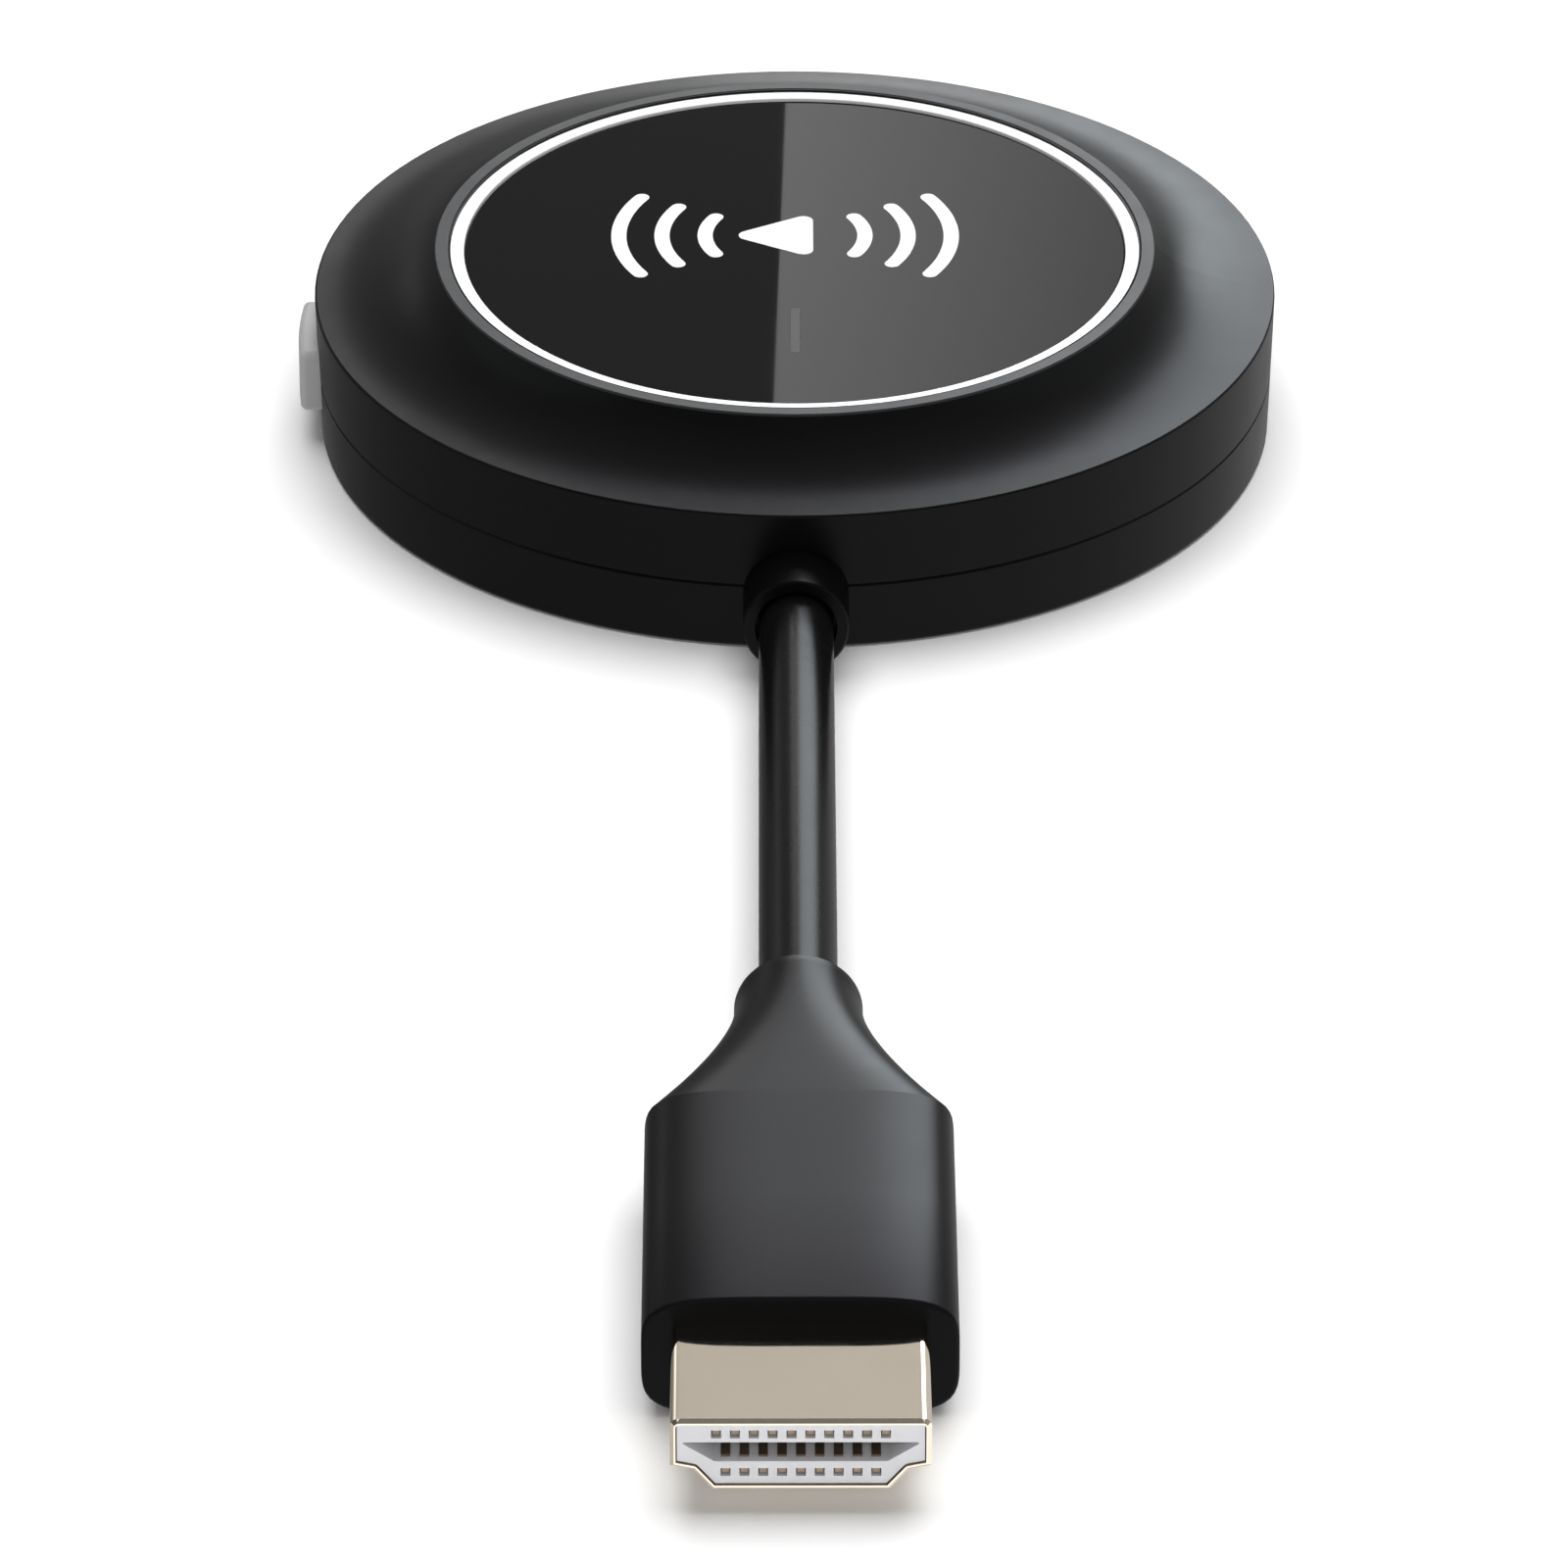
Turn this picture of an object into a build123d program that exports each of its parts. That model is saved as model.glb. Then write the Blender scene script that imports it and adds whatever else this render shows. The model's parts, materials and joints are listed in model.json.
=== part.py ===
"""Round streaming media player with a short captive cable and an HDMI type A plug.

Millimetres, +Z up.  The origin is the centre of the puck's underside, the cable leaves
towards -Y, the push button is on -X and the power socket on +Y.
"""

import os
from math import acos, asin, degrees, sqrt

from build123d import *

# ------------------------------------------------------------------ driving dimensions
# Housing
PUCK_RADIUS = 30.0  # at the rim
FOOT_RADIUS = 29.73  # at the underside, so the side wall has a slight draft
RIM_HEIGHT = 9.3
RIM_EDGE = 0.15
FOOT_EDGE = 0.35
SEAM_HEIGHT = 4.33
SEAM_BEVEL = 0.1  # each shell's half of the fine line round the side wall
FLOOR_THICKNESS = 1.4
LOWER_INNER_RADIUS = 28.2
UPPER_INNER_RADIUS = 28.4
TONGUE_RADIUS = 28.75
TONGUE_TOP = 5.23
JOINT_GAP = 0.05  # between the lower shell's tongue and the upper shell's groove
COVE_HALF_WIDTH = 8.2  # of the ellipse that the hollow round the bezel follows
COVE_TOP = 12.05
DECK_TOP = 10.7
DECK_UNDERSIDE = 9.5
SNAP_COUNT = 6
SNAP_SIZE = (0.4, 4.0, 0.4)
SNAP_GAP = 0.1
LABEL_RADIUS = 17.0
LABEL_RECESS = 0.2
LABEL_THICKNESS = 0.15

# Trim in the middle of the top
BEZEL_OUTER_RADIUS = 22.53
BEZEL_INNER_RADIUS = 21.55
GLASS_RADIUS = 20.64
BEZEL_TOP = 12.2
ACCENT_TOP = 12.0
GLASS_TOP = 11.8
GLASS_EDGE = 0.1
ADHESIVE_THICKNESS = 0.15
ADHESIVE_INNER_RADIUS = 17.5
TRIM_GAP = 0.02
STATUS_CENTRE = (0, -10.75)
STATUS_SIZE = (0.58, 5.8)

# Main board and what it carries
BOARD_RADIUS = 26.6
BOARD_BOTTOM = 2.0
BOARD_TOP = 3.0
SCREW_RING_RADIUS = 22.0
SCREW_ANGLES = (50, 130, 305)
BOSS_RADIUS = 2.2
PILOT_RADIUS = 0.8
PILOT_DEPTH = 1.4
SHANK_RADIUS = 0.76
SCREW_HOLE_RADIUS = 0.95
SCREW_HEAD_RADIUS = 1.6
SCREW_HEAD_HEIGHT = 0.9
DRIVE_RADIUS = 0.55
CHIP_BEVEL = 0.12
PROCESSOR_CENTRE = (1.0, 4.5)
PROCESSOR_SIZE = (13.0, 13.0, 1.1)
SHIELD_CENTRE = (13.0, -9.5)
SHIELD_SIZE = (13.0, 11.0, 2.0)
SHIELD_WALL = 0.2
SHIELD_CORNER = 0.6
PAD_THICKNESS = 1.2
SPREADER_RADIUS = 17.5
SPREADER_THICKNESS = 1.0
SPREADER_SLOT_WIDTH = 2.0
MEMORY_CENTRE = (-14.0, -2.0)
MEMORY_SIZE = (7.5, 11.0, 1.0)
FLASH_CENTRE = (-7.5, -14.0)
FLASH_SIZE = (8.0, 9.0, 0.9)
WIRELESS_SIZE = (7.0, 7.0, 0.9)
INDUCTOR_PLACES = ((-14.5, 12.0), (-14.5, 6.8), (15.5, 9.5))
INDUCTOR_SIZE = (4.0, 4.0, 1.9)
CAPACITOR_SIZE = (1.0, 1.7, 0.8)
CRYSTAL_CENTRE = (8.0, -17.5)
CRYSTAL_SIZE = (3.2, 2.5, 0.7)
LED_HEIGHT = 0.7
LED_SIZE = (0.5, 1.6, LED_HEIGHT)
ANTENNA_STARTS = {"antenna_right": -20, "antenna_left": 120}  # degrees from +X
ANTENNA_SPAN = 40
ANTENNA_RADIUS = UPPER_INNER_RADIUS - 0.05
ANTENNA_THICKNESS = 0.2
ANTENNA_BOTTOM = TONGUE_TOP + 0.4
ANTENNA_WIDTH = 1.6

# Push button and its switch
BUTTON_LENGTH = 7.35
BUTTON_HEIGHT = 4.15
BUTTON_FACE_RADIUS = 31.07
BUTTON_GAP = 0.15
BUTTON_CORNER = 0.5
BUTTON_EDGE = 0.4
FLANGE_FRONT = 27.4
FLANGE_BACK = 26.6
FLANGE_SIZE = (9.6, 4.4)
SWITCH_FACE = 25.3
SWITCH_SIZE = (3.0, 6.0, 2.7)
PLUNGER_FRONT = 26.2
PLUNGER_LENGTH = 1.5
PLUNGER_SIZE = (2.8, 1.4)
PLUNGER_GAP = 0.08
PLUNGER_POCKET = 1.0

# Power socket, USB type C
SOCKET_WIDTH = 8.94
SOCKET_HEIGHT = 3.16
SOCKET_WALL = 0.3
SOCKET_MOUTH = 29.5
SOCKET_LENGTH = 7.3
SOCKET_AXIS_HEIGHT = BOARD_TOP + SOCKET_HEIGHT / 2
SOCKET_GAP = 0.18
SOCKET_BASE_LENGTH = 1.6
SOCKET_TONGUE = (6.7, 0.7)
SOCKET_TONGUE_LENGTH = 4.6
SOCKET_PAD = (0.25, 2.6, 0.06)
SOCKET_PAD_COUNT = 12
SOCKET_PAD_PITCH = 0.5

# Cable and strain relief; distances along the cable are out from the puck's centre
AXIS_HEIGHT = 3.8  # of the cable and the plug
CABLE_RADIUS = 2.25
CABLE_INNER_END = 25.0
CABLE_PLUG_END = 94.0
BORE_GAP = 0.03
COLLAR_RADIUS = 3.2
COLLAR_FACE = 33.95
COLLAR_BEVEL = 0.12
COLLAR_MOUTH_RADIUS = 2.48
COLLAR_MOUTH_DEPTH = 1.2
RELIEF_NECK_RADIUS = 2.95
RELIEF_NECK_ROOT = 27.9
ANCHOR_SIZE = (6.8, 5.2)
LEAD_RADIUS = 0.4
LEAD_COUNT = 5
LEAD_PITCH = 0.85
LEAD_END = 21.5
HEADER_SIZE = (6.0, 3.0, 1.8)

# Plug
NECK_END = 77.8
FLARE_START = 78.6
FLARE_POWER = 1.71  # the width grows as this power of the way along the flare
FLARE_SECTIONS = 11
BLOCK_START = 92.6
OVERMOLD_FACE = 113.8
OVERMOLD_EDGE = 0.2
NECK_RADIUS = 3.65
NECK_CORNER = 3.6
OVERMOLD_WIDTH = 17.15
OVERMOLD_HEIGHT = 7.6
OVERMOLD_CORNER = 3.1
SHELL_WIDTH = 13.9
SHELL_HEIGHT = 4.45
SHELL_WALL = 0.3
SHELL_TIP = 123.2
SHELL_ROOT = 104.2
SHELL_LIP = 0.2  # bevel round the outside of the open end
PLUG_GAP = 0.02
INSULATOR_GAP = 0.07
INSULATOR_FACE = 123.05
CONTACT_PITCH = 1.0
UPPER_CONTACT_COUNT = 10
LOWER_CONTACT_COUNT = 9
FACE_SLOT = (0.53, 0.5)
FACE_SLOT_DEPTH = 3.0
UPPER_SLOT_HEIGHT = 1.245  # above the plug's axis
LOWER_SLOT_HEIGHT = -1.15
MATING_SLOT_TOP = 0.745
MATING_SLOT_BOTTOM = -0.465
MATING_SLOT_SIDE = 0.12  # the upright part of the slot's ends, above their slopes
MATING_SLOT_HALF_WIDTH = 6.25
MATING_FLOOR_HALF_WIDTH = 4.6
MATING_SLOT_DEPTH = 8.0
CONTACT_SECTION = (0.4, 0.3)
CONTACT_RECESS = 0.2
CONTACT_LENGTH = 2.5
BLADE_SECTION = (0.5, 0.12)
BLADE_RECESS = 0.45
BLADE_LENGTH = 7.0
INNER_MOLD_SIZE = (13.0, 5.6)
INNER_MOLD_CORNER = 1.0

os.makedirs("parts", exist_ok=True)


def save(piece, name):
    """Label a finished piece and write it as its own STEP file."""
    piece.part.label = name
    export_step(piece.part, f"parts/{name}.step")


def facing_cable(distance, height=AXIS_HEIGHT):
    """A plane facing -Y, this far out from the puck's centre, with +X to its right."""
    return Plane(origin=(0, -distance, height), x_dir=(1, 0, 0), z_dir=(0, -1, 0))


def facing_button(distance):
    """A plane facing -X at the button's height, this far out from the centre."""
    return Plane(origin=(-distance, 0, SEAM_HEIGHT), x_dir=(0, -1, 0), z_dir=(-1, 0, 0))


def facing_socket(distance):
    """A plane facing +Y on the power socket's axis, this far out from the centre."""
    origin = (0, distance, SOCKET_AXIS_HEIGHT)
    return Plane(origin=origin, x_dir=(-1, 0, 0), z_dir=(0, 1, 0))


def wall_radius(height):
    """The housing's outer radius at a height on its drafted side wall."""
    return FOOT_RADIUS + (PUCK_RADIUS - FOOT_RADIUS) * height / RIM_HEIGHT


# ------------------------------------------------------------------ shared cutters
# The button window, the socket opening and the cable hole, which straddle the seam
with BuildPart() as side_openings:
    with BuildSketch(facing_button(PUCK_RADIUS + 1)):
        RectangleRounded(
            BUTTON_LENGTH + 2 * BUTTON_GAP,
            BUTTON_HEIGHT + 2 * BUTTON_GAP,
            BUTTON_CORNER + BUTTON_GAP,
        )
    extrude(amount=-5)
    with BuildSketch(facing_socket(PUCK_RADIUS + 1)):
        SlotOverall(SOCKET_WIDTH + 2 * SOCKET_GAP, SOCKET_HEIGHT + 2 * SOCKET_GAP)
    extrude(amount=-5)
    with BuildSketch(facing_cable(PUCK_RADIUS + 1)):
        Circle(RELIEF_NECK_RADIUS + BORE_GAP)
    extrude(amount=-5)

# The puck's outer body, which the strain relief's collar is fitted against
with BuildPart() as puck_outline:
    with BuildSketch(Plane.XZ):
        Polygon(
            (0, -1),
            (wall_radius(-1) + BORE_GAP, -1),
            (wall_radius(RIM_HEIGHT) + BORE_GAP, RIM_HEIGHT),
            (0, RIM_HEIGHT),
            align=None,
        )
    revolve(axis=Axis.Z)

screw_planes = [
    Plane(Location((0, 0, BOARD_BOTTOM), (0, 0, angle)) * Pos(SCREW_RING_RADIUS, 0, 0))
    for angle in SCREW_ANGLES
]

# ------------------------------------------------------------------ housing
with BuildPart() as bottom_shell:
    with BuildSketch(Plane.XZ):
        Polygon(
            (0, 0),
            (FOOT_RADIUS, 0),
            (wall_radius(SEAM_HEIGHT), SEAM_HEIGHT),
            (TONGUE_RADIUS, SEAM_HEIGHT),
            (TONGUE_RADIUS, TONGUE_TOP),
            (LOWER_INNER_RADIUS, TONGUE_TOP),
            (LOWER_INNER_RADIUS, FLOOR_THICKNESS),
            (0, FLOOR_THICKNESS),
            align=None,
        )
    revolve(axis=Axis.Z)
    rings = bottom_shell.edges().filter_by(GeomType.CIRCLE)
    fillet(rings.group_by(Axis.Z)[0], FOOT_EDGE)
    rings = bottom_shell.edges().filter_by(GeomType.CIRCLE)
    seam_rings = rings.filter_by_position(Axis.Z, SEAM_HEIGHT, SEAM_HEIGHT)
    chamfer(seam_rings.sort_by(SortBy.RADIUS)[-1], SEAM_BEVEL)
    with BuildSketch(Plane.XY):
        Circle(LABEL_RADIUS + TRIM_GAP)
    extrude(amount=LABEL_RECESS, mode=Mode.SUBTRACT)
    with BuildSketch(*screw_planes):
        Circle(BOSS_RADIUS)
    extrude(amount=FLOOR_THICKNESS - BOARD_BOTTOM)
    with BuildSketch(*screw_planes):
        Circle(PILOT_RADIUS)
    extrude(amount=-PILOT_DEPTH, mode=Mode.SUBTRACT)
    with PolarLocations(TONGUE_RADIUS, SNAP_COUNT, start_angle=30):
        with Locations((0, 0, (SEAM_HEIGHT + TONGUE_TOP) / 2)):
            Box(*SNAP_SIZE)
    add(side_openings.part, mode=Mode.SUBTRACT)
save(bottom_shell, "bottom_shell")

with BuildPart() as underside_label:
    with BuildSketch(Plane.XY.offset(LABEL_RECESS)):
        Circle(LABEL_RADIUS)
    extrude(amount=-LABEL_THICKNESS)
save(underside_label, "underside_label")

cove_reach = (PUCK_RADIUS - BEZEL_OUTER_RADIUS) / COVE_HALF_WIDTH
cove_half_height = (COVE_TOP - RIM_HEIGHT) / (1 - sqrt(1 - cove_reach**2))
cove_start = 180 + degrees(acos(cove_reach))
cove_end = 270 - degrees(asin(RIM_EDGE / COVE_HALF_WIDTH))
rim_foot = RIM_HEIGHT - RIM_EDGE
with BuildPart() as top_shell:
    with BuildSketch(Plane.XZ):
        with BuildLine():
            cove = EllipticalCenterArc(
                center=(PUCK_RADIUS, RIM_HEIGHT + cove_half_height),
                x_radius=COVE_HALF_WIDTH,
                y_radius=cove_half_height,
                start_angle=cove_start,
                arc_size=cove_end - cove_start,
            )
            TangentArc(cove @ 1, (wall_radius(rim_foot), rim_foot), tangent=cove % 1)
            Polyline(
                cove @ 0,
                (BEZEL_OUTER_RADIUS, DECK_TOP),
                (0, DECK_TOP),
                (0, DECK_UNDERSIDE),
                (BEZEL_INNER_RADIUS, DECK_UNDERSIDE),
                (UPPER_INNER_RADIUS - 1, RIM_HEIGHT - 1.5),
                (UPPER_INNER_RADIUS, RIM_HEIGHT - 1.9),
                (UPPER_INNER_RADIUS, TONGUE_TOP + JOINT_GAP),
                (TONGUE_RADIUS + JOINT_GAP, TONGUE_TOP + JOINT_GAP),
                (TONGUE_RADIUS + JOINT_GAP, SEAM_HEIGHT),
                (wall_radius(SEAM_HEIGHT), SEAM_HEIGHT),
                (wall_radius(rim_foot), rim_foot),
            )
        make_face()
    revolve(axis=Axis.Z)
    rings = top_shell.edges().filter_by(GeomType.CIRCLE)
    seam_rings = rings.filter_by_position(Axis.Z, SEAM_HEIGHT, SEAM_HEIGHT)
    chamfer(seam_rings.sort_by(SortBy.RADIUS)[-1], SEAM_BEVEL)
    with BuildSketch(Plane.XY.offset(DECK_TOP)):
        with Locations(STATUS_CENTRE):
            Rectangle(STATUS_SIZE[0] + 4 * TRIM_GAP, STATUS_SIZE[1] + 4 * TRIM_GAP)
    extrude(amount=DECK_UNDERSIDE - DECK_TOP, mode=Mode.SUBTRACT)
    with PolarLocations(TONGUE_RADIUS, SNAP_COUNT, start_angle=30):
        with Locations((0, 0, (SEAM_HEIGHT + TONGUE_TOP) / 2)):
            Box(*(side + 2 * SNAP_GAP for side in SNAP_SIZE), mode=Mode.SUBTRACT)
    add(side_openings.part, mode=Mode.SUBTRACT)
save(top_shell, "top_shell")


# ------------------------------------------------------------------ trim on the top
def ring(outer, inner, bottom, top, edge):
    """A flat ring round the Z axis with its upper edges eased."""
    with BuildPart() as piece:
        with BuildSketch(Plane.XY.offset(bottom)):
            Circle(outer)
            Circle(inner, mode=Mode.SUBTRACT)
        extrude(amount=top - bottom)
        if edge:
            chamfer(piece.faces().sort_by(Axis.Z)[-1].edges(), edge)
    return piece


trim_rings = {
    "bezel_ring": (BEZEL_OUTER_RADIUS, BEZEL_INNER_RADIUS, DECK_TOP, BEZEL_TOP, 0.1),
    "accent_ring": (BEZEL_INNER_RADIUS, GLASS_RADIUS, DECK_TOP, ACCENT_TOP, 0.06),
    "glass_adhesive": (
        GLASS_RADIUS,
        ADHESIVE_INNER_RADIUS,
        DECK_TOP,
        DECK_TOP + ADHESIVE_THICKNESS,
        0,
    ),
}
for name, (outer, inner, bottom, top, edge) in trim_rings.items():
    save(ring(outer - TRIM_GAP, inner, bottom, top, edge), name)

with BuildPart() as cover_glass:
    with BuildSketch(Plane.XY.offset(DECK_TOP + ADHESIVE_THICKNESS)):
        Circle(GLASS_RADIUS - TRIM_GAP)
    extrude(amount=GLASS_TOP - DECK_TOP - ADHESIVE_THICKNESS)
    chamfer(cover_glass.faces().sort_by(Axis.Z)[-1].edges(), GLASS_EDGE)
    with BuildSketch(Plane.XY.offset(GLASS_TOP)):
        with Locations(STATUS_CENTRE):
            Rectangle(STATUS_SIZE[0] + TRIM_GAP, STATUS_SIZE[1] + TRIM_GAP)
    extrude(amount=-GLASS_TOP + DECK_TOP, mode=Mode.SUBTRACT)
save(cover_glass, "cover_glass")

with BuildPart() as status_window:
    with BuildSketch(Plane.XY.offset(DECK_TOP)):
        with Locations(STATUS_CENTRE):
            Rectangle(*STATUS_SIZE)
    extrude(amount=GLASS_TOP - DECK_TOP)
save(status_window, "status_window")

with BuildPart() as light_guide:
    with BuildSketch(Plane.XY.offset(BOARD_TOP + LED_HEIGHT)):
        with Locations(STATUS_CENTRE):
            Rectangle(*STATUS_SIZE)
    extrude(amount=DECK_TOP - BOARD_TOP - LED_HEIGHT)
save(light_guide, "light_guide")

# ------------------------------------------------------------------ main board
with BuildPart() as main_board:
    with BuildSketch(Plane.XY.offset(BOARD_BOTTOM)):
        Circle(BOARD_RADIUS)
        with Locations((0, -BOARD_RADIUS)):
            RectangleRounded(ANCHOR_SIZE[0] + 1, 4.4, 0.5, mode=Mode.SUBTRACT)
        with Locations((-BOARD_RADIUS, 0)):
            RectangleRounded(2.4, FLANGE_SIZE[0] + 1.2, 0.5, mode=Mode.SUBTRACT)
        for angle in SCREW_ANGLES:
            with PolarLocations(SCREW_RING_RADIUS, 1, start_angle=angle):
                Circle(SCREW_HOLE_RADIUS, mode=Mode.SUBTRACT)
    extrude(amount=BOARD_TOP - BOARD_BOTTOM)
save(main_board, "main_board")


def chips(name, size, places, bevel=CHIP_BEVEL, base=BOARD_TOP):
    """Bevelled blocks on the board, one solid at each place, saved as one node."""
    with BuildPart() as piece:
        with BuildSketch(Plane.XY.offset(base)):
            with Locations(*places):
                Rectangle(size[0], size[1])
        extrude(amount=size[2])
        chamfer(piece.faces().group_by(Axis.Z)[-1].edges(), bevel)
    save(piece, name)


capacitor_row = [(x, 13.6) for x in (-5.0, -2.8, -0.6, 1.6, 3.8, 6.0)]
capacitor_columns = [(x, y) for x in (-8.6, 10.4) for y in (0.0, 2.4, 4.8)]
chips("processor", PROCESSOR_SIZE, [PROCESSOR_CENTRE])
chips("memory_chip", MEMORY_SIZE, [MEMORY_CENTRE])
chips("flash_chip", FLASH_SIZE, [FLASH_CENTRE])
chips("wireless_chip", WIRELESS_SIZE, [SHIELD_CENTRE])
chips("power_inductors", INDUCTOR_SIZE, INDUCTOR_PLACES, bevel=0.3)
chips("capacitors", CAPACITOR_SIZE, capacitor_row + capacitor_columns, bevel=0.08)
chips("crystal", CRYSTAL_SIZE, [CRYSTAL_CENTRE])
chips("status_led", LED_SIZE, [STATUS_CENTRE], bevel=0.05)
chips("cable_header", HEADER_SIZE, [(0, -LEAD_END + HEADER_SIZE[1] / 2)])

with BuildPart() as wireless_shield:
    with BuildSketch(Plane.XY.offset(BOARD_TOP)):
        with Locations(SHIELD_CENTRE):
            RectangleRounded(SHIELD_SIZE[0], SHIELD_SIZE[1], SHIELD_CORNER)
    extrude(amount=SHIELD_SIZE[2])
    fillet(wireless_shield.faces().sort_by(Axis.Z)[-1].edges(), SHIELD_WALL)
    with BuildSketch(Plane.XY.offset(BOARD_TOP)):
        with Locations(SHIELD_CENTRE):
            RectangleRounded(
                SHIELD_SIZE[0] - 2 * SHIELD_WALL,
                SHIELD_SIZE[1] - 2 * SHIELD_WALL,
                SHIELD_CORNER - SHIELD_WALL,
            )
    extrude(amount=SHIELD_SIZE[2] - SHIELD_WALL, mode=Mode.SUBTRACT)
save(wireless_shield, "wireless_shield")

chips(
    "thermal_pad",
    (PROCESSOR_SIZE[0] - 1, PROCESSOR_SIZE[1] - 1, PAD_THICKNESS),
    [PROCESSOR_CENTRE],
    base=BOARD_TOP + PROCESSOR_SIZE[2],
)

with BuildPart() as heat_spreader:
    spreader_base = BOARD_TOP + PROCESSOR_SIZE[2] + PAD_THICKNESS
    with BuildSketch(Plane.XY.offset(spreader_base)):
        Circle(SPREADER_RADIUS)
        with Locations((STATUS_CENTRE[0], STATUS_CENTRE[1] - SPREADER_RADIUS / 2)):
            Rectangle(
                SPREADER_SLOT_WIDTH,
                SPREADER_RADIUS + 2 * STATUS_SIZE[1],
                mode=Mode.SUBTRACT,
            )
    extrude(amount=SPREADER_THICKNESS)
    chamfer(heat_spreader.faces().sort_by(Axis.Z)[-1].edges(), 0.15)
save(heat_spreader, "heat_spreader")

with BuildPart() as board_screws:
    with BuildSketch(*[plane.offset(BOARD_TOP - BOARD_BOTTOM) for plane in screw_planes]):
        Circle(SCREW_HEAD_RADIUS)
    extrude(amount=SCREW_HEAD_HEIGHT)
    head_rims = board_screws.faces().group_by(Axis.Z)[-1].edges()
    fillet(head_rims, 0.3)
    with BuildSketch(*[plane.offset(BOARD_TOP - BOARD_BOTTOM) for plane in screw_planes]):
        Circle(SHANK_RADIUS)
    extrude(amount=-(BOARD_TOP - BOARD_BOTTOM) - PILOT_DEPTH + 0.2)
    drive_height = BOARD_TOP - BOARD_BOTTOM + SCREW_HEAD_HEIGHT
    with BuildSketch(*[plane.offset(drive_height) for plane in screw_planes]):
        Rectangle(2 * DRIVE_RADIUS, 0.3)
        Rectangle(0.3, 2 * DRIVE_RADIUS)
    extrude(amount=-0.5, mode=Mode.SUBTRACT)
save(board_screws, "board_screws")

for name, start_angle in ANTENNA_STARTS.items():
    with BuildPart() as antenna:
        with BuildSketch(Plane.XY.offset(ANTENNA_BOTTOM)):
            with BuildLine():
                outer_arc = CenterArc((0, 0), ANTENNA_RADIUS, start_angle, ANTENNA_SPAN)
                inner_radius = ANTENNA_RADIUS - ANTENNA_THICKNESS
                inner_arc = CenterArc((0, 0), inner_radius, start_angle, ANTENNA_SPAN)
                Line(outer_arc @ 0, inner_arc @ 0)
                Line(outer_arc @ 1, inner_arc @ 1)
            make_face()
        extrude(amount=ANTENNA_WIDTH)
    save(antenna, name)

# ------------------------------------------------------------------ button and switch
with BuildPart() as side_button:
    with BuildSketch(facing_button(FLANGE_FRONT)):
        RectangleRounded(BUTTON_LENGTH, BUTTON_HEIGHT, BUTTON_CORNER)
    extrude(amount=PUCK_RADIUS + 2 - FLANGE_FRONT)
    with BuildSketch(Plane.XY):
        Circle(BUTTON_FACE_RADIUS)
    extrude(amount=2 * RIM_HEIGHT, mode=Mode.INTERSECT)
    fillet(side_button.faces().sort_by(Axis.X)[0].edges(), BUTTON_EDGE)
    with BuildSketch(facing_button(FLANGE_BACK)):
        RectangleRounded(*FLANGE_SIZE, BUTTON_CORNER)
    extrude(amount=FLANGE_FRONT - FLANGE_BACK)
    with BuildSketch(facing_button(PLUNGER_FRONT)):
        Rectangle(*PLUNGER_SIZE)
    extrude(amount=FLANGE_BACK - PLUNGER_FRONT)
save(side_button, "side_button")

with BuildPart() as switch_plunger:
    with BuildSketch(facing_button(PLUNGER_FRONT)):
        RectangleRounded(*PLUNGER_SIZE, 0.3)
    extrude(amount=-PLUNGER_LENGTH)
save(switch_plunger, "switch_plunger")

with BuildPart() as switch_body:
    with Locations((-SWITCH_FACE + SWITCH_SIZE[0] / 2, 0, BOARD_TOP)):
        Box(*SWITCH_SIZE, align=(Align.CENTER, Align.CENTER, Align.MIN))
    chamfer(switch_body.edges().filter_by(Axis.Z), 0.2)
    with BuildSketch(facing_button(SWITCH_FACE)):
        RectangleRounded(
            PLUNGER_SIZE[0] + 2 * PLUNGER_GAP, PLUNGER_SIZE[1] + 2 * PLUNGER_GAP, 0.3
        )
    extrude(amount=-PLUNGER_POCKET, mode=Mode.SUBTRACT)
save(switch_body, "switch_body")

# ------------------------------------------------------------------ power socket
with BuildPart() as power_socket_shell:
    with BuildSketch(facing_socket(SOCKET_MOUTH)):
        SlotOverall(SOCKET_WIDTH, SOCKET_HEIGHT)
        SlotOverall(
            SOCKET_WIDTH - 2 * SOCKET_WALL,
            SOCKET_HEIGHT - 2 * SOCKET_WALL,
            mode=Mode.SUBTRACT,
        )
    extrude(amount=-SOCKET_LENGTH)
save(power_socket_shell, "power_socket_shell")

socket_back = SOCKET_MOUTH - SOCKET_LENGTH
with BuildPart() as power_socket_tongue:
    with BuildSketch(facing_socket(socket_back)):
        SlotOverall(
            SOCKET_WIDTH - 2 * SOCKET_WALL - 2 * TRIM_GAP,
            SOCKET_HEIGHT - 2 * SOCKET_WALL - 2 * TRIM_GAP,
        )
    extrude(amount=SOCKET_BASE_LENGTH)
    with BuildSketch(facing_socket(socket_back + SOCKET_BASE_LENGTH)):
        Rectangle(*SOCKET_TONGUE)
    extrude(amount=SOCKET_TONGUE_LENGTH)
    tongue_tip = power_socket_tongue.faces().sort_by(Axis.Y)[-1]
    chamfer(tongue_tip.edges().filter_by(Axis.X), 0.15)
save(power_socket_tongue, "power_socket_tongue")

with BuildPart() as power_socket_contacts:
    pad_centre = socket_back + SOCKET_BASE_LENGTH + SOCKET_PAD[1] / 2 + 1.0
    pad_offset = (SOCKET_TONGUE[1] + SOCKET_PAD[2]) / 2
    for side in (-1, 1):
        with Locations((0, pad_centre, SOCKET_AXIS_HEIGHT + side * pad_offset)):
            with GridLocations(SOCKET_PAD_PITCH, 1, SOCKET_PAD_COUNT, 1):
                Box(*SOCKET_PAD)
save(power_socket_contacts, "power_socket_contacts")

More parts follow.
